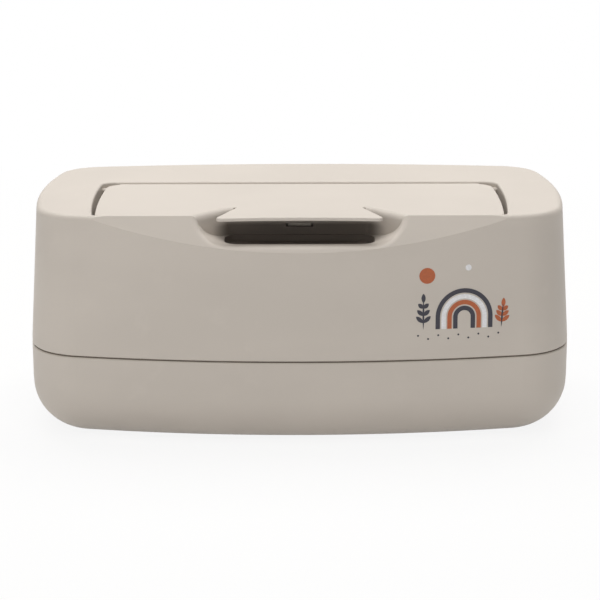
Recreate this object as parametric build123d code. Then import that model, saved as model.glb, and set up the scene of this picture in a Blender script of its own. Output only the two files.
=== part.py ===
from build123d import *

import os
from math import cos, radians, tan

# A wipes box for a changing table: a deep tray on soft feet, a drafted cover that lifts off,
# a flip lid over the dispensing mouth, and a weighted plate that presses on the wipes.
# The origin is the middle of the footprint on the table, +Z is up and -Y is the front, where the
# lid's pull tab reaches over a finger pocket. All sizes are in millimetres.

# Plan of the box at the joint between tray and cover, with the radius of each bowed side
HALF_WIDTH = 120.0
HALF_DEPTH = 67.4
FRONT_BOW = 485.5
BACK_BOW = 719.0
END_BOW = 214.6
FRONT_CORNER = 26.9
BACK_CORNER = 23.5

# Heights
TOP_Z = 99.6
JOINT_Z = 38.5
JOINT_GAP = 0.6
TRAY_LIFT = 0.3

# Shells
WALL = 2.2
TRAY_WALL = 2.4
COVER_DRAFT = 3.76
TRAY_ROUND = 22.5
EDGE_ROUND = 0.8
TOP_ROUND = 2.4

# Front facet, a flat cut that leans back above the front wall
FACET_Y = -54.5
FACET_LEAN = 35.0

# Spigot of the tray inside the cover, and the soft ring between them
SPIGOT_INSET = 2.75
SPIGOT_WALL = 1.65
SPIGOT_HIGH = 4.5
SPIGOT_DEEP = 7.5
RING_INSET = 0.7
RING_WIDE = 1.5

# Well in the top that the lid fills
WELL_HALF_WIDTH = 90.5
WELL_WIDEST_Y = -8.0
WELL_END_BOW = 350.0
WELL_FRONT_Y = -52.6
WELL_BACK_Y = 17.8
WELL_BACK_ROUND = 6.0
WELL_FRONT_ROUND = 3.0
WELL_FLOOR_Z = 90.8
WELL_RIM_ROUND = 0.9

# Lid
LID_THICK = 2.4
LID_BELOW_TOP = 0.3
LID_HALF_WIDTH = 87.9
LID_WIDEST_Y = -18.0
LID_END_BOW = 450.0
LID_FRONT_GAP = 0.4
LID_FRONT_ROUND = 3.0
LID_BACK_ROUND = 8.0
LID_EDGE_ROUND = 0.6

# Pull tab, wider at its tip than at its root
TAB_ROOT_HALF = 26.5
TAB_TIP_HALF = 36.1
TAB_TIP_Y = -58.6
TAB_THICK = 1.4
TAB_HOLLOW = 2.0
TAB_TIP_ROUND = 2.0

# Finger pocket under the tab
POCKET_HALF = 43.8
POCKET_BACK_HALF = 30.0
POCKET_BACK_Y = -38.5
POCKET_FLARE_Y = -53.5
POCKET_FLOOR_Z = 87.9
POCKET_SIDE_ROUND = 13.0
POCKET_BACK_ROUND = 3.5
POCKET_WALL = 2.0
POCKET_LIP_ROUND = 3.0
DIP_LONG = 64.0
DIP_FRONT_Y = -57.0
DIP_BACK_SHELF = 1.0
DIP_ROUND = 6.0
DIP_DEEP = 2.6
NOTCH_GAP = 0.3

# Latch tongue of the lid and its window in the pocket's back wall
LATCH_WIDE = 10.0
LATCH_THICK = 1.4
LATCH_CLEAR = 0.5
LATCH_END_CLEAR = 0.4
BARB_OUT = 0.2
BARB_HIGH = 1.2
WINDOW_WIDE = 11.4
WINDOW_HIGH = 1.6
WINDOW_LIFT = 0.5

# Hinge along the back of the lid
BARREL_RADIUS = 3.0
BARREL_GAP = 0.5
BARREL_HALF = 81.5
PIN_RADIUS = 1.25
PIN_CLEAR = 0.05
PIN_IN_LID = 7.0
PIN_OUTER_X = 95.0
PIN_END_CLEAR = 0.5
BOSS_RADIUS = 3.0
BOSS_OUTER_X = 97.0

# Dispensing mouth with its collar, and the gasket under the lid
MOUTH_LONG = 120.0
MOUTH_WIDE = 34.0
MOUTH_Y = -13.0
COLLAR_WALL = 1.8
COLLAR_HIGH = 4.4
GASKET_OVERHANG = 1.0
GASKET_CLEAR = 0.3
RAIL_WIDE = 1.2
RAIL_HIGH = 0.9
RAIL_GAP = 0.1

# Weighted plate that lies on the wipes
PLATE_LONG = 188.0
PLATE_WIDE = 84.0
PLATE_ROUND = 18.0
PLATE_HIGH = 7.0
PLATE_SKIN = 1.8
PLATE_EDGE_ROUND = 1.2
SLOT_LONG = 96.0
SLOT_WIDE = 22.0
WEIGHT_LONG = 34.0
WEIGHT_WIDE = 58.0
WEIGHT_THICK = 3.0
WEIGHT_X = 69.0
WEIGHT_GAP = 0.2
CRIB_WALL = 1.4

# Ribs on the tray's floor that the plate rests on
RIB_HIGH = 2.0
RIB_WIDE = 2.0
RIB_PAST_PLATE = 2.0
RIB_X = (-84.0, -28.0, 28.0, 84.0)

# Feet
FOOT_RADIUS = 7.0
FOOT_THICK = 1.6
FOOT_X = 78.0
FOOT_Y = 27.0
FOOT_EDGE_ROUND = 0.4

# Reach of the cutting blocks, well past the box on every side
REACH = 400.0

LID_TOP_Z = TOP_Z - LID_BELOW_TOP
LID_LOW_Z = LID_TOP_Z - LID_THICK
COVER_LOW_Z = JOINT_Z + JOINT_GAP
HINGE_Y = WELL_BACK_Y - BARREL_GAP - BARREL_RADIUS
HINGE_Z = LID_TOP_Z - BARREL_RADIUS
COLLAR_TOP_Z = WELL_FLOOR_Z + COLLAR_HIGH
TRAY_FLOOR_Z = TRAY_LIFT + TRAY_WALL
PLATE_LOW_Z = TRAY_FLOOR_Z + RIB_HIGH


def prism(plan, low_z, high_z):
    """An upright prism on a plan."""
    return extrude(Pos(0, 0, low_z) * plan, high_z - low_z)


def drafted(inset, low_z, high_z):
    """A block on the box's outline whose sides lean in by the cover's draft as they rise."""
    lean_in = (high_z - low_z) * tan(radians(COVER_DRAFT))
    return loft([Pos(0, 0, low_z) * outline(inset), Pos(0, 0, high_z) * outline(inset + lean_in)], ruled=True)


def rod(from_x, to_x, radius):
    """A round rod along X on the hinge axis."""
    middle = Pos((from_x + to_x) / 2, HINGE_Y, HINGE_Z)
    return middle * Rot(0, 90, 0) * Cylinder(radius, abs(to_x - from_x))


def block(long, wide, low_z, high_z, x=0.0, y=0.0):
    """An upright block, its middle at x and y."""
    return Pos(x, y) * prism(Rectangle(long, wide), low_z, high_z)


def outline(inset=0.0):
    """Plan of the box, four bowed sides with round corners, taken in by inset all round."""
    front = Pos(0, FRONT_BOW - HALF_DEPTH) * Circle(FRONT_BOW - inset)
    back = Pos(0, HALF_DEPTH - BACK_BOW) * Circle(BACK_BOW - inset)
    plan = front & back & bowed_ends(HALF_WIDTH, 0.0, END_BOW, inset)
    plan = fillet(plan.vertices().group_by(Axis.Y)[-1], BACK_CORNER - inset)
    return fillet(plan.vertices().group_by(Axis.Y)[0], FRONT_CORNER - inset)


def bowed_ends(half_width, widest_y, bow, inset=0.0):
    """The lens between two arcs that bow out to the left and to the right."""
    arc = Rot(0, 0, 90) * Circle(bow - inset)
    centre_x = half_width - bow
    return Pos(centre_x, widest_y) * arc & Pos(-centre_x, widest_y) * arc


def panel_plan(half_width, widest_y, bow, front_y, back_y, front_round, back_round):
    """A panel with straight front and back edges and bowed ends."""
    middle_y = (front_y + back_y) / 2
    strip = Pos(0, middle_y) * Rectangle(4 * half_width, back_y - front_y)
    plan = strip & bowed_ends(half_width, widest_y, bow)
    plan = fillet(plan.vertices().group_by(Axis.Y)[-1], back_round)
    return fillet(plan.vertices().group_by(Axis.Y)[0], front_round)


def well_plan():
    return panel_plan(WELL_HALF_WIDTH, WELL_WIDEST_Y, WELL_END_BOW,
                      WELL_FRONT_Y, WELL_BACK_Y, WELL_FRONT_ROUND, WELL_BACK_ROUND)


def pocket_plan(grow=0.0):
    """The finger pocket from above, narrow at its back wall and open to the front."""
    half = POCKET_HALF + grow
    front_y = -2 * HALF_DEPTH
    plan = Polygon((-POCKET_BACK_HALF, POCKET_BACK_Y), (-POCKET_HALF, POCKET_FLARE_Y),
                   (-POCKET_HALF, front_y), (POCKET_HALF, front_y),
                   (POCKET_HALF, POCKET_FLARE_Y), (POCKET_BACK_HALF, POCKET_BACK_Y), align=None)
    plan = fillet(plan.vertices().group_by(Axis.Y)[-1], POCKET_BACK_ROUND)
    return offset(plan, grow) if grow else plan


def pocket_block(grow=0.0):
    """The room of the finger pocket, or with grow the block that leaves its walls."""
    low_z = POCKET_FLOOR_Z - grow
    high_z = TOP_Z + POCKET_SIDE_ROUND
    half = POCKET_HALF + grow
    front = Pos(0, (low_z + high_z) / 2) * Rectangle(2 * half, high_z - low_z)
    front = fillet(front.vertices().group_by(Axis.Y)[0], POCKET_SIDE_ROUND + grow)
    trough = extrude(Plane.XZ * front, 2 * HALF_DEPTH, both=True)
    return trough & prism(pocket_plan(grow), low_z, high_z)


def dip_block(grow=0.0):
    """The deeper middle of the finger pocket, or with grow the block that leaves its walls."""
    back_y = POCKET_BACK_Y - DIP_BACK_SHELF
    plan = RectangleRounded(DIP_LONG + 2 * grow, back_y - DIP_FRONT_Y + 2 * grow, DIP_ROUND + grow)
    low_z = POCKET_FLOOR_Z - DIP_DEEP - grow
    return Pos(0, (DIP_FRONT_Y + back_y) / 2) * prism(plan, low_z, POCKET_FLOOR_Z + POCKET_WALL)


def facet_block(thickness=0.0):
    """What the front facet cuts away, moved in by a thickness for the inside of the wall."""
    y = FACET_Y + thickness / cos(radians(FACET_LEAN))
    cutter = Box(REACH, REACH, REACH, align=(Align.CENTER, Align.MAX, Align.CENTER))
    return Pos(0, y, TOP_Z) * Rot(-FACET_LEAN, 0, 0) * cutter


def mouth_ring(outside, inside, low_z, high_z):
    """A ring around the dispensing mouth, its edges so far outside and inside the mouth's wall."""
    ring = SlotOverall(MOUTH_LONG + 2 * outside, MOUTH_WIDE + 2 * outside)
    ring -= SlotOverall(MOUTH_LONG - 2 * inside, MOUTH_WIDE - 2 * inside)
    return Pos(0, MOUTH_Y) * prism(ring, low_z, high_z)


def on_facet(edge):
    """Whether the middle of an edge lies on the front facet."""
    middle = edge @ 0.5
    facet_y = FACET_Y - (TOP_Z - middle.Z) * tan(radians(FACET_LEAN))
    return abs(middle.Y - facet_y) < EDGE_ROUND / 10


def in_pocket_width(edge):
    """Whether the middle of an edge lies within the finger pocket's width and before its back wall."""
    middle = edge @ 0.5
    return abs(middle.X) < POCKET_HALF and middle.Y < POCKET_BACK_Y + EDGE_ROUND


def on_well_rim(edge):
    """Whether the middle of a top edge lies on the rim of the well, pocket's width left out."""
    middle = edge @ 0.5
    inside_x = abs(middle.X) < WELL_HALF_WIDTH + EDGE_ROUND
    return inside_x and WELL_FRONT_Y - EDGE_ROUND / 2 < middle.Y < WELL_BACK_Y + EDGE_ROUND


def cover_outside():
    """The cover as a solid block with drafted sides, round top, front facet and finger pocket."""
    body = drafted(0.0, COVER_LOW_Z, TOP_Z)
    body = fillet(body.edges().group_by(Axis.Z)[-1], TOP_ROUND)
    body = fillet(body.edges().group_by(Axis.Z)[0], EDGE_ROUND)
    body -= facet_block()
    body -= pocket_block()
    lip = [edge for edge in body.edges() if on_facet(edge) and edge.length < 2 * POCKET_HALF]
    lip += body.edges().group_by(Axis.Z)[-1]
    return fillet([edge for edge in lip if in_pocket_width(edge)], POCKET_LIP_ROUND)


def cover_inside():
    """The cover's hollow, which leaves the walls of the well, the pocket and the pin bosses."""
    room = drafted(WALL, COVER_LOW_Z, TOP_Z - WALL)
    room -= facet_block(WALL)
    room -= prism(offset(well_plan(), WALL), WELL_FLOOR_Z - WALL, TOP_Z)
    room -= pocket_block(POCKET_WALL)
    room -= dip_block(POCKET_WALL)
    for side in (-1, 1):
        room -= rod(side * BARREL_HALF, side * BOSS_OUTER_X, BOSS_RADIUS)
    return room


def make_cover():
    shell = cover_outside() - cover_inside()
    well = prism(well_plan(), WELL_FLOOR_Z, TOP_Z)
    under_tab = block(2 * (TAB_ROOT_HALF + POCKET_WALL), REACH, LID_LOW_Z - GASKET_CLEAR, REACH)
    pocket_walls = pocket_block(POCKET_WALL) - under_tab
    shell -= well - pocket_walls
    shell = fillet([edge for edge in shell.edges().group_by(Axis.Z)[-1] if on_well_rim(edge)], WELL_RIM_ROUND)
    shell -= dip_block()
    shell += mouth_ring(COLLAR_WALL, 0.0, WELL_FLOOR_Z - WALL, COLLAR_TOP_Z)
    shell -= Pos(0, MOUTH_Y) * prism(SlotOverall(MOUTH_LONG, MOUTH_WIDE), WELL_FLOOR_Z - WALL, TOP_Z)
    window_z = WELL_FLOOR_Z + WINDOW_LIFT
    shell -= block(WINDOW_WIDE, 4 * POCKET_WALL, window_z, window_z + WINDOW_HIGH, y=POCKET_BACK_Y)
    for side in (-1, 1):
        shell -= make_pin(side)
    return shell


def lid_plan():
    plan = panel_plan(LID_HALF_WIDTH, LID_WIDEST_Y, LID_END_BOW,
                      WELL_FRONT_Y + LID_FRONT_GAP, HINGE_Y, LID_FRONT_ROUND, LID_BACK_ROUND)
    plan -= pocket_plan(POCKET_WALL + NOTCH_GAP)
    root_y = POCKET_BACK_Y + 2 * POCKET_WALL
    tip = ThreePointArc((-TAB_TIP_HALF, TAB_TIP_Y), (0, TAB_TIP_Y + TAB_HOLLOW), (TAB_TIP_HALF, TAB_TIP_Y))
    rest = Polyline((TAB_TIP_HALF, TAB_TIP_Y), (TAB_ROOT_HALF, root_y),
                    (-TAB_ROOT_HALF, root_y), (-TAB_TIP_HALF, TAB_TIP_Y))
    tab = make_face(Curve() + [tip, rest])
    return plan + fillet(tab.vertices().group_by(Axis.Y)[0], TAB_TIP_ROUND)


def make_lid():
    plate = prism(lid_plan(), LID_LOW_Z, LID_TOP_Z)
    top_edges = plate.edges().group_by(Axis.Z)[-1]
    plate = fillet([edge for edge in top_edges if edge.center().Y < HINGE_Y - 1], LID_EDGE_ROUND)
    plate -= block(4 * TAB_TIP_HALF, REACH, 0.0, LID_TOP_Z - TAB_THICK, y=-REACH / 2) & prism(
        pocket_plan(NOTCH_GAP), LID_LOW_Z, LID_TOP_Z)
    plate += rod(-BARREL_HALF, BARREL_HALF, BARREL_RADIUS)
    bore_end_x = BARREL_HALF - PIN_IN_LID - PIN_END_CLEAR
    for side in (-1, 1):
        plate -= rod(side * bore_end_x, side * PIN_OUTER_X, PIN_RADIUS + PIN_CLEAR)
    rail_z = LID_LOW_Z - RAIL_HIGH
    outer = COLLAR_WALL + GASKET_OVERHANG + RAIL_GAP
    plate += mouth_ring(outer + RAIL_WIDE, -outer, rail_z, LID_LOW_Z)
    inner = GASKET_OVERHANG + RAIL_GAP
    plate += mouth_ring(-inner, inner + RAIL_WIDE, rail_z, LID_LOW_Z)
    front_y = POCKET_BACK_Y + POCKET_WALL + LATCH_CLEAR
    low_z = WELL_FLOOR_Z + LATCH_END_CLEAR
    plate += block(LATCH_WIDE, LATCH_THICK, low_z, LID_LOW_Z, y=front_y + LATCH_THICK / 2)
    barb = Polygon((front_y, low_z), (front_y - BARB_OUT, low_z + BARB_HIGH / 2),
                   (front_y, low_z + BARB_HIGH), align=None)
    return plate + extrude(Plane.YZ * barb, LATCH_WIDE / 2, both=True)


def make_gasket():
    return mouth_ring(COLLAR_WALL + GASKET_OVERHANG, GASKET_OVERHANG, COLLAR_TOP_Z + GASKET_CLEAR, LID_LOW_Z)


def make_pin(side):
    return rod(side * (BARREL_HALF - PIN_IN_LID), side * PIN_OUTER_X, PIN_RADIUS)


def make_tray():
    body = prism(outline(), TRAY_LIFT, JOINT_Z)
    body = fillet(body.edges().group_by(Axis.Z)[0], TRAY_ROUND)
    body = fillet(body.edges().group_by(Axis.Z)[-1], EDGE_ROUND)
    spigot_top = JOINT_Z + SPIGOT_HIGH
    body += prism(outline(SPIGOT_INSET), JOINT_Z, spigot_top)
    ledge_z = JOINT_Z - SPIGOT_DEEP
    room = prism(outline(TRAY_WALL), TRAY_FLOOR_Z, ledge_z)
    room = fillet(room.edges().group_by(Axis.Z)[0], TRAY_ROUND - TRAY_WALL)
    body -= room
    body -= prism(outline(SPIGOT_INSET + SPIGOT_WALL), ledge_z, spigot_top)
    rib_long = PLATE_WIDE + 2 * RIB_PAST_PLATE
    for x in RIB_X:
        body += block(RIB_WIDE, rib_long, TRAY_FLOOR_Z, PLATE_LOW_Z, x=x)
    for x, y in foot_places().values():
        body -= Pos(x, y) * prism(Circle(FOOT_RADIUS), TRAY_LIFT, FOOT_THICK)
    return body


def make_ring():
    ring = outline(RING_INSET) - outline(RING_INSET + RING_WIDE)
    return prism(ring, JOINT_Z, COVER_LOW_Z)


def make_plate():
    plan = RectangleRounded(PLATE_LONG, PLATE_WIDE, PLATE_ROUND)
    slot = SlotOverall(SLOT_LONG, SLOT_WIDE)
    top_z = PLATE_LOW_Z + PLATE_HIGH
    skin_z = top_z - PLATE_SKIN
    plate = prism(plan, PLATE_LOW_Z, top_z)
    plate = fillet(plate.edges().group_by(Axis.Z)[-1], PLATE_EDGE_ROUND)
    hollow = prism(offset(plan, -PLATE_SKIN) - offset(slot, PLATE_SKIN), PLATE_LOW_Z, skin_z)
    for side in (-1, 1):
        crib_inside = Rectangle(WEIGHT_LONG + 2 * WEIGHT_GAP, WEIGHT_WIDE + 2 * WEIGHT_GAP)
        crib = offset(crib_inside, CRIB_WALL) - crib_inside
        hollow -= Pos(side * WEIGHT_X) * prism(crib, skin_z - WEIGHT_THICK, skin_z)
    return plate - hollow - prism(slot, PLATE_LOW_Z, top_z)


def make_weight(side):
    skin_z = PLATE_LOW_Z + PLATE_HIGH - PLATE_SKIN
    return block(WEIGHT_LONG, WEIGHT_WIDE, skin_z - WEIGHT_THICK, skin_z, x=side * WEIGHT_X)


def foot_places():
    return {f"foot_{row}_{side}": (x, y)
            for row, y in (("front", -FOOT_Y), ("back", FOOT_Y))
            for side, x in (("left", -FOOT_X), ("right", FOOT_X))}


def make_foot(x, y):
    foot = Pos(x, y) * prism(Circle(FOOT_RADIUS), 0.0, FOOT_THICK)
    return fillet(foot.edges().group_by(Axis.Z)[0], FOOT_EDGE_ROUND)


def make_parts():
    parts = {
        "base_tray": make_tray(),
        "base_seal": make_ring(),
        "cover_shell": make_cover(),
        "lid": make_lid(),
        "lid_gasket": make_gasket(),
        "press_plate": make_plate(),
    }
    for name, side in (("left", -1), ("right", 1)):
        parts[f"hinge_pin_{name}"] = make_pin(side)
        parts[f"weight_{name}"] = make_weight(side)
    for name, (x, y) in foot_places().items():
        parts[name] = make_foot(x, y)
    return parts


os.makedirs("parts", exist_ok=True)
for node, shape in make_parts().items():
    export_step(shape, f"parts/{node}.step")
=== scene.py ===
import math

import bpy
from mathutils import Matrix, Vector


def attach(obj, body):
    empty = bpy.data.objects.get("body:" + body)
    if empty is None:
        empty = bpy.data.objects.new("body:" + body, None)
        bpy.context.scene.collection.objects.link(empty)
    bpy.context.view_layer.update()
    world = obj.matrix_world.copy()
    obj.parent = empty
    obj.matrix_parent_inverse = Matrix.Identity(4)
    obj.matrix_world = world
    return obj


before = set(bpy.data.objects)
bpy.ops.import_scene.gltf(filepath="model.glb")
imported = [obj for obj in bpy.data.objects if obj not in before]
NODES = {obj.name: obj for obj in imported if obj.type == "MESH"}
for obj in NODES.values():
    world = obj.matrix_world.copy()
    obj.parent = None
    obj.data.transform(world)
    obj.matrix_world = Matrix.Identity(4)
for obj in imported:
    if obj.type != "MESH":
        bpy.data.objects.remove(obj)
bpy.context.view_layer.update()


MM = 0.001

# Camera, as the photograph was taken: a long lens in front of the box, a little above it
CAMERA_PLACE = (0.0, -0.8707, 0.2779)
CAMERA_TARGET = (0.0, 0.0, 0.050)
CAMERA_ROLL_DEG = -0.13
LENS_MM = 118.9
SENSOR_MM = 36.0
SHIFT_X = 0.0005
SHIFT_Y = -0.0053
NEAREST = 0.01
FARTHEST = 20.0

# Colours as they look in flat light
BEIGE = (208, 200, 191)
SEAL_TAUPE = (104, 96, 86)
PLATE_CREAM = (226, 221, 212)
STEEL_GREY = (178, 178, 176)
FOOT_GREY = (92, 87, 82)
INKS = {"charcoal": (59, 58, 68), "white": (240, 240, 243), "rust": (184, 100, 62)}
FLOOR_WHITE = (250, 250, 250)

# How strongly plastic and ink, and then soft rubber, reflect
PLASTIC_SPECULAR = 0.42
RUBBER_SPECULAR = 0.35

# Light: the world's strength and colour, then each lamp's name, place, aim, width, height, watts and colour
WORLD_LIGHT = 0.13
WORLD_COLOUR = (1.0, 0.985, 0.965, 1.0)
LAMPS = (
    ("overhead_softbox", (0.0, 0.42, 1.10), (0.0, 0.02, 0.08), 1.3, 0.8, 12.21, (1.0, 0.985, 0.965)),
    ("high_front_softbox", (0.0, -0.80, 1.20), (0.0, 0.0, 0.06), 1.3, 0.8, 4.90, (1.0, 0.985, 0.965)),
    ("left_softbox", (-1.05, -0.75, 0.60), (0.0, 0.0, 0.05), 0.8, 0.9, 2.67, (1.0, 0.985, 0.96)),
    ("front_fill", (0.10, -1.6, 0.35), (0.0, 0.0, 0.05), 1.2, 0.6, 1.53, (1.0, 0.98, 0.955)),
)

# The floor glows white for the camera, gloss and glass, less near the box so that its shadow stays
FLOOR_WIDE = 40.0
NEAR_GLOW = 0.88
NEAR_RADIUS = 0.20
FAR_RADIUS = 0.60

# Painted shade in the finger pocket's deep part, which is painted darker as if shaded under the tab: the
# places between which this painted shade fades on each side, and how far its front edge bends back away from
# the middle
POCKET_SIDES = (29 * MM, 38 * MM)
POCKET_LIP_Y = (-59 * MM, -52 * MM)
POCKET_LIP_BOW = 4.0
POCKET_BACK_Y = (-37 * MM, -36 * MM)
POCKET_FLOOR_Z = (84.6 * MM, 85.1 * MM)
POCKET_RIM_Z = (92 * MM, 95 * MM)
# How strongly the painted shade darkens the pocket, and the brown it darkens towards
POCKET_SHADE_STRENGTH = 0.88
POCKET_SHADE_BROWN = (68, 57, 48)

# Print on the cover's front: the middle of its motifs and how far the ink stands proud
PRINT_X = 67.2 * MM
PRINT_GROUND_Z = 52.2 * MM
PRINT_START_Y = -80.0 * MM
INK_STAND_OFF = 0.05 * MM
INK_THICK = 0.06 * MM

# The print's motifs, in millimetres from its middle and its ground line
ARCH_X = 2.4
ARCH_BAND = 1.9
ARCH_LEG = 5.0
ARCHES = (("charcoal", 12.2), ("white", 9.7), ("rust", 7.2), ("charcoal", 4.7))
SUN = (-13.5, 23.0, 3.4)
MOON = (4.0, 26.0, 1.3)
STEM_WIDE = 0.8
LEAF_PAIRS = 3
FIRST_PAIR_SHARE = 0.22
PAIR_STEP_SHARE = 0.24
LEAF_LONG = 4.2
LEAF_SHRINK = 0.6
LEAF_WIDE = 1.8
LEAF_LEAN_DEG = 48
TIP_LONG = 4.0
TIP_SUNK = 1.6
DOTS = 9
DOTS_FROM_X = -17.2
DOT_STEP = 4.3
DOTS_Z = -2.6
DOT_DROP = 1.5
DOT_RADIUS = 0.42

# Points round a full arch, a leaf and a dot
ARCH_POINTS = 72
LEAF_POINTS = 24
DOT_POINTS = 20

# Sprigs of the print: middle, height, lean in degrees and the leaves' ink
SPRIGS = ((-15.0, 13.0, 0.0, "charcoal"), (18.4, 10.0, 4.0, "rust"))


class Socket:
    """A node's output, with arithmetic that adds Math nodes."""

    def __init__(self, paint, link):
        self.paint = paint
        self.link = link

    def _math(self, operation, *values):
        return self.paint.node("ShaderNodeMath", {"operation": operation}, dict(enumerate(values)))

    def __add__(self, other):
        return self._math("ADD", self, other)

    __radd__ = __add__

    def __mul__(self, other):
        return self._math("MULTIPLY", self, other)

    __rmul__ = __mul__

    def __sub__(self, other):
        return self._math("SUBTRACT", self, other)

    def __rsub__(self, other):
        return self._math("SUBTRACT", other, self)

    def __abs__(self):
        return self._math("ABSOLUTE", self)

    def above(self, low, high):
        """Runs from 0 at low to 1 at high, and is held there."""
        settings = {"clamp": True, "interpolation_type": "SMOOTHSTEP"}
        return self.paint.node("ShaderNodeMapRange", settings, {0: self, 1: low, 2: high, 3: 0.0, 4: 1.0})


class Paint:
    """The nodes of one material, or of the world."""

    def __init__(self, owner):
        self.owner = owner
        owner.use_nodes = True
        self.tree = owner.node_tree
        self.shader = self.tree.nodes.get("Principled BSDF") or self.tree.nodes["Background"]

    def node(self, kind, settings=None, values=None, output=0):
        """Adds a node, sets its settings, then fills or links its inputs."""
        new = self.tree.nodes.new(kind)
        for key, value in (settings or {}).items():
            setattr(new, key, value)
        for key, value in (values or {}).items():
            self.fill(new.inputs[key], value)
        return Socket(self, new.outputs[output])

    def fill(self, target, value):
        if isinstance(value, Socket):
            self.tree.links.new(value.link, target)
        else:
            target.default_value = value

    def set(self, **values):
        for key, value in values.items():
            self.fill(self.shader.inputs[key.replace("_", " ")], value)

    def place(self):
        return self.node("ShaderNodeTexCoord", output=3)

    def along(self, axis):
        """The place along x, y or z, for axis 0, 1 or 2."""
        return self.node("ShaderNodeSeparateXYZ", values={0: self.place()}, output=axis)

    def background_rays(self):
        """1 for the rays that see the background: the camera's, and those that gloss and glass send on."""
        path = self.node("ShaderNodeLightPath").link.node
        camera, gloss, glass = (Socket(self, path.outputs[f"Is {kind} Ray"])
                                for kind in ("Camera", "Glossy", "Transmission"))
        return (camera + gloss + glass).above(0.0, 1.0)

    def noise(self, scale, detail=2.0, roughness=0.5, stretch=None):
        where = self.place()
        if stretch:
            where = self.node("ShaderNodeMapping", values={"Vector": where, "Scale": stretch})
        return self.node("ShaderNodeTexNoise", values={"Vector": where, "Scale": scale, "Detail": detail,
                                                       "Roughness": roughness})

    def mix(self, factor, first, second):
        """A colour between two colours, by a factor from 0 to 1."""
        return self.node("ShaderNodeMix", {"data_type": "RGBA"}, {0: factor, 6: first, 7: second}, output=2)

    def bump(self, height, strength, distance, under=None):
        values = {"Height": height, "Strength": strength, "Distance": distance}
        if under:
            values["Normal"] = under
        return self.node("ShaderNodeBump", values=values)


def linear(rgb, gain=1.0):
    """A colour in the shader's linear values, from 0 to 255 as it looks."""
    parts = []
    for value in rgb:
        share = min(1.0, value * gain / 255)
        parts.append(share / 12.92 if share <= 0.04045 else ((share + 0.055) / 1.055) ** 2.4)
    return (*parts, 1.0)


def painted_pocket_shade(paint):
    """Where shade is painted: 1 in the deep part of the finger pocket, fading to 0 at its lip and sides."""
    x, y, z = abs(paint.along(0)), paint.along(1), paint.along(2)
    behind_lip = (y - x * x * POCKET_LIP_BOW).above(*POCKET_LIP_Y)
    ahead = 1 - y.above(*POCKET_BACK_Y)
    between = 1 - x.above(*POCKET_SIDES)
    under_rim = 1 - z.above(*POCKET_RIM_Z)
    return behind_lip * ahead * between * z.above(*POCKET_FLOOR_Z) * under_rim


def new_paint(name):
    return Paint(bpy.data.materials.new(name))


def moulded_plastic(name, rgb, roughness=0.50, grain=0.10, shade_pocket=False):
    """Matte moulded plastic: fine spark-eroded grain, faint flow marks and a little handling, and, if asked,
    painted shade in the finger pocket's deep part.
    """
    paint = new_paint(name)
    flow = paint.noise(9.0, detail=3.0, roughness=0.55, stretch=(1.0, 1.0, 2.4))
    cloud = paint.noise(70.0, detail=4.0, roughness=0.6)
    tint = paint.mix(flow.above(0.32, 0.70), linear(rgb, 0.985), linear(rgb, 1.012))
    rubbed = cloud.above(0.58, 0.74) * 0.35
    low = 1 - paint.along(2).above(2 * MM, 9 * MM)
    scuffed = low * paint.noise(420.0, detail=5.0, roughness=0.7).above(0.52, 0.66) * 0.45
    colour = paint.mix(scuffed, paint.mix(rubbed, tint, linear(rgb, 1.02)), linear(rgb, 0.86))
    # Painted shade: the pocket's deep part is darkened towards a brown, where the tab's shade falls
    if shade_pocket:
        colour = paint.mix(painted_pocket_shade(paint) * POCKET_SHADE_STRENGTH, colour, linear(POCKET_SHADE_BROWN))
    sink = paint.bump(paint.noise(26.0, detail=1.0), strength=0.05, distance=0.4 * MM)
    sparks = paint.noise(2600.0, detail=3.0, roughness=0.65)
    paint.set(Base_Color=colour, Roughness=roughness + cloud * 0.09 - rubbed * 0.10,
              Specular_IOR_Level=PLASTIC_SPECULAR,
              Normal=paint.bump(sparks, strength=grain, distance=0.06 * MM, under=sink))
    return paint.owner


def silicone(name, rgb):
    """Soft seal or foot: dull, a touch dusty, with a faint skin."""
    paint = new_paint(name)
    dust = paint.noise(300.0, detail=5.0, roughness=0.7).above(0.50, 0.72)
    skin = paint.noise(1500.0, detail=3.0, roughness=0.6)
    paint.set(Base_Color=paint.mix(dust * 0.5, linear(rgb), linear(rgb, 1.16)),
              Roughness=0.72 + dust * 0.12, Specular_IOR_Level=RUBBER_SPECULAR,
              Normal=paint.bump(skin, strength=0.14, distance=0.05 * MM))
    return paint.owner


def drawn_steel(name, rgb):
    """Bright steel with fine drawing lines and a few darker spots."""
    paint = new_paint(name)
    lines = paint.noise(900.0, detail=3.0, roughness=0.6, stretch=(0.05, 1.0, 1.0))
    spots = paint.noise(260.0, detail=4.0, roughness=0.6).above(0.60, 0.74)
    paint.set(Base_Color=paint.mix(spots * 0.4, linear(rgb), linear(rgb, 0.80)), Metallic=1.0,
              Roughness=0.28 + lines * 0.16, Normal=paint.bump(lines, strength=0.10, distance=0.03 * MM))
    return paint.owner


def printed_ink(name, rgb):
    """Pad-printed ink: an even film, very slightly mottled over the plastic's grain."""
    paint = new_paint(name)
    mottle = paint.noise(1200.0, detail=4.0, roughness=0.6).above(0.35, 0.75)
    grain = paint.noise(2600.0, detail=3.0, roughness=0.65)
    paint.set(Base_Color=paint.mix(mottle, linear(rgb, 0.96), linear(rgb, 1.03)),
              Roughness=0.44 + mottle * 0.10, Specular_IOR_Level=PLASTIC_SPECULAR,
              Normal=paint.bump(grain, strength=0.05, distance=0.05 * MM))
    return paint.owner


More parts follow.
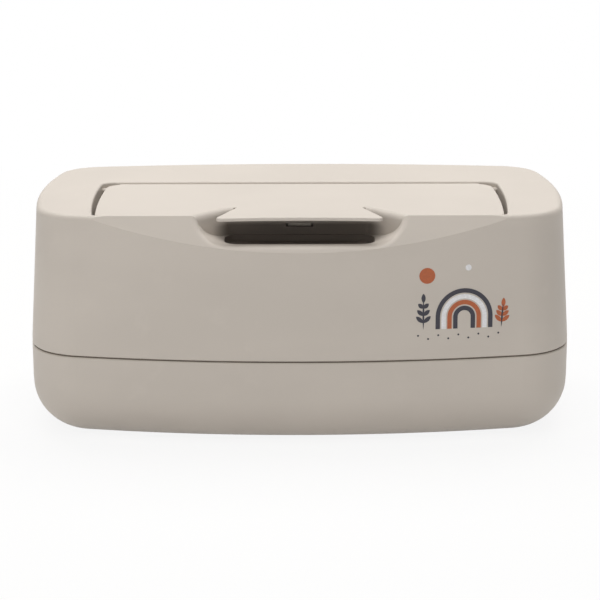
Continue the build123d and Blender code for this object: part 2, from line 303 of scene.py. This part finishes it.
def dress_nodes():
    """Gives each CAD node the first finish here whose name its own starts with."""
    shell = moulded_plastic("beige_moulded_plastic", BEIGE)
    seal = silicone("taupe_silicone", SEAL_TAUPE)
    finishes = {
        "base_tray": shell,
        "base_seal": seal,
        # The cover's plastic carries the painted shade in its finger pocket
        "cover_shell": moulded_plastic("beige_plastic_with_painted_pocket_shade", BEIGE, shade_pocket=True),
        "lid_gasket": seal,
        "lid": shell,
        "hinge_pin": shell,
        "press_plate": moulded_plastic("cream_moulded_plastic", PLATE_CREAM, roughness=0.46, grain=0.08),
        "weight": drawn_steel("drawn_steel", STEEL_GREY),
        "foot": silicone("foot_rubber", FOOT_GREY),
    }
    for name, node in NODES.items():
        finish = next(value for key, value in finishes.items() if name.startswith(key))
        for slot in node.material_slots:
            slot.material = finish


def on_print(x_mm, z_mm):
    """A place on the print's drawing plane, in front of the cover."""
    return (PRINT_X + x_mm * MM, PRINT_START_Y, PRINT_GROUND_Z + z_mm * MM)


def finish_shape(name, ink):
    """Lays the flat shape in hand on the cover's front wall as a thin film of ink."""
    shape = bpy.context.object
    shape.name = name
    bpy.ops.object.mode_set(mode="OBJECT")
    bpy.ops.object.transform_apply(location=True, rotation=True, scale=True)
    laid = shape.modifiers.new("laid", "SHRINKWRAP")
    laid.target = NODES["cover_shell"]
    laid.wrap_method = "PROJECT"
    laid.use_project_x = laid.use_project_z = False
    laid.use_project_y = True
    laid.use_positive_direction = laid.use_negative_direction = True
    laid.wrap_mode = "ABOVE_SURFACE"
    laid.offset = INK_STAND_OFF
    film = shape.modifiers.new("film", "SOLIDIFY")
    film.thickness = INK_THICK
    film.offset = 0.0
    for modifier in ("laid", "film"):
        bpy.ops.object.modifier_apply(modifier=modifier)
    bpy.ops.object.mode_set(mode="EDIT")
    bpy.ops.mesh.select_all(action="SELECT")
    bpy.ops.mesh.normals_make_consistent(inside=False)
    bpy.ops.object.mode_set(mode="OBJECT")
    shape.data.materials.clear()
    shape.data.materials.append(ink)
    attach(shape, "cover")


def start_disc(x_mm, z_mm, radius_mm, points, fill="NGON"):
    bpy.ops.object.select_all(action="DESELECT")
    bpy.ops.mesh.primitive_circle_add(vertices=points, radius=radius_mm * MM, fill_type=fill,
                                      location=on_print(x_mm, z_mm), rotation=(math.radians(90), 0, 0))


def dot(name, ink, x_mm, z_mm, radius_mm):
    start_disc(x_mm, z_mm, radius_mm, DOT_POINTS)
    finish_shape(name, ink)


def leaf(name, ink, x_mm, z_mm, long_mm, wide_mm, lean_deg):
    """A pointed leaf that grows from its foot at x and z."""
    start_disc(0, 0, 1.0, LEAF_POINTS)
    lean = math.radians(lean_deg)
    for vertex in bpy.context.object.data.vertices:
        along, across = vertex.co.y / MM, vertex.co.x / MM
        pointed = across * (1 - along * along) ** 0.35 if abs(along) < 1 else 0.0
        up, side = (along + 1) / 2 * long_mm, pointed * wide_mm / 2
        vertex.co.x = (side * math.cos(lean) + up * math.sin(lean)) * MM
        vertex.co.y = (up * math.cos(lean) - side * math.sin(lean)) * MM
    bpy.context.object.location = on_print(x_mm, z_mm)
    finish_shape(name, ink)


def arch(name, ink, x_mm, outer_mm, band_mm, leg_mm):
    """A round arch that stands on two short legs: half a ring, its ends drawn down."""
    start_disc(x_mm, leg_mm, outer_mm, ARCH_POINTS, "NOTHING")
    ring = bpy.context.object
    bpy.ops.object.mode_set(mode="EDIT")
    bpy.ops.mesh.select_all(action="SELECT")
    bpy.ops.mesh.bisect(plane_co=on_print(x_mm, leg_mm), plane_no=(0, 0, 1), clear_inner=True, use_fill=False)
    bpy.ops.mesh.select_all(action="SELECT")
    bpy.ops.mesh.extrude_edges_move()
    shrink = (outer_mm - band_mm) / outer_mm
    bpy.ops.transform.resize(value=(shrink, shrink, shrink), center_override=on_print(x_mm, leg_mm))
    bpy.ops.object.mode_set(mode="OBJECT")
    near = band_mm * MM / 100
    on_line = {vertex.index for vertex in ring.data.vertices if abs(vertex.co.y) < near}
    for vertex in ring.data.vertices:
        vertex.select = vertex.index in on_line
    for edge in ring.data.edges:
        edge.select = on_line.issuperset(edge.vertices)
    for face in ring.data.polygons:
        face.select = False
    bpy.ops.object.mode_set(mode="EDIT")
    bpy.ops.mesh.extrude_edges_move(TRANSFORM_OT_translate={"value": (0, 0, -leg_mm * MM)})
    finish_shape(name, ink)


def sprig(number, x_mm, tall_mm, lean_deg, stem_ink, leaf_ink):
    """A stem with pairs of leaves that shrink upwards, and one leaf at its tip."""
    lean = math.radians(lean_deg)
    leaf(f"print_stem_{number}", stem_ink, x_mm, 0.0, tall_mm, STEM_WIDE, lean_deg)
    for step in range(LEAF_PAIRS):
        up = tall_mm * (FIRST_PAIR_SHARE + PAIR_STEP_SHARE * step)
        middle = x_mm + up * math.tan(lean)
        for side, sign in (("left", -1), ("right", 1)):
            leaf(f"print_leaf_{number}_{step + 1}_{side}", leaf_ink, middle, up,
                 LEAF_LONG - LEAF_SHRINK * step, LEAF_WIDE, sign * LEAF_LEAN_DEG + lean_deg)
    leaf(f"print_tip_{number}", leaf_ink, x_mm + tall_mm * math.sin(lean), tall_mm - TIP_SUNK,
         TIP_LONG, LEAF_WIDE, lean_deg)


def make_print():
    """A small scene of nested arches, a sun, a moon, leaf sprigs and dots."""
    inks = {key: printed_ink(f"ink_{key}", rgb) for key, rgb in INKS.items()}
    for number, (ink, outer) in enumerate(ARCHES, 1):
        arch(f"print_arch_{number}", inks[ink], ARCH_X, outer, ARCH_BAND, ARCH_LEG)
    dot("print_sun", inks["rust"], *SUN)
    dot("print_moon", inks["white"], *MOON)
    for number, (x_mm, tall_mm, lean_deg, ink) in enumerate(SPRIGS, 1):
        sprig(number, x_mm, tall_mm, lean_deg, inks["charcoal"], inks[ink])
    for number in range(DOTS):
        dot(f"print_dot_{number + 1}", inks["charcoal"], DOTS_FROM_X + DOT_STEP * number,
            DOTS_Z - DOT_DROP * (number % 2), DOT_RADIUS)


def make_floor():
    """A plain pale floor, which keeps the box's shadow."""
    bpy.ops.object.select_all(action="DESELECT")
    bpy.ops.mesh.primitive_plane_add(size=FLOOR_WIDE, location=(0, 0, 0))
    floor = bpy.context.object
    floor.name = "studio_floor"
    paint = new_paint("studio_floor_white")
    paint.set(Base_Color=linear(FLOOR_WHITE), Roughness=0.85, Specular_IOR_Level=0.1)
    away = paint.node("ShaderNodeVectorMath", {"operation": "LENGTH"}, {0: paint.place()}, output=1)
    glowing = NEAR_GLOW + away.above(NEAR_RADIUS, FAR_RADIUS) * (1.0 - NEAR_GLOW)
    glow = paint.node("ShaderNodeEmission", values={"Color": (1, 1, 1, 1), "Strength": 1.0})
    values = {0: paint.background_rays() * glowing, 1: Socket(paint, paint.shader.outputs[0]), 2: glow}
    mixed = paint.node("ShaderNodeMixShader", values=values)
    paint.fill(paint.tree.nodes["Material Output"].inputs["Surface"], mixed)
    floor.data.materials.append(paint.owner)


def make_world():
    """Soft even light all round, which the camera, gloss and glass see as white."""
    world = bpy.data.worlds.new("studio_world")
    bpy.context.scene.world = world
    paint = Paint(world)
    paint.set(Color=WORLD_COLOUR, Strength=WORLD_LIGHT + paint.background_rays() * (1.0 - WORLD_LIGHT))


def turn_towards(item, place, target):
    item.location = place
    item.rotation_euler = (Vector(target) - Vector(place)).to_track_quat("-Z", "Y").to_euler()


def make_lamps():
    for name, place, target, width, height, watts, colour in LAMPS:
        light = bpy.data.lights.new(name, "AREA")
        light.shape = "RECTANGLE"
        light.size, light.size_y = width, height
        light.energy = watts
        light.color = colour
        lamp = bpy.data.objects.new(name, light)
        bpy.context.collection.objects.link(lamp)
        turn_towards(lamp, place, target)


def make_camera():
    data = bpy.data.cameras.new("photo_camera")
    data.lens = LENS_MM
    data.sensor_width = SENSOR_MM
    data.shift_x, data.shift_y = SHIFT_X, SHIFT_Y
    data.clip_start, data.clip_end = NEAREST, FARTHEST
    camera = bpy.data.objects.new("photo_camera", data)
    bpy.context.collection.objects.link(camera)
    turn_towards(camera, CAMERA_PLACE, CAMERA_TARGET)
    roll = Matrix.Rotation(math.radians(CAMERA_ROLL_DEG), 4, "Z")
    camera.rotation_euler = (camera.rotation_euler.to_matrix().to_4x4() @ roll).to_euler()
    bpy.context.scene.camera = camera


make_camera()
make_world()
make_lamps()
make_floor()
dress_nodes()
make_print()

bpy.context.scene.view_settings.view_transform = "Standard"
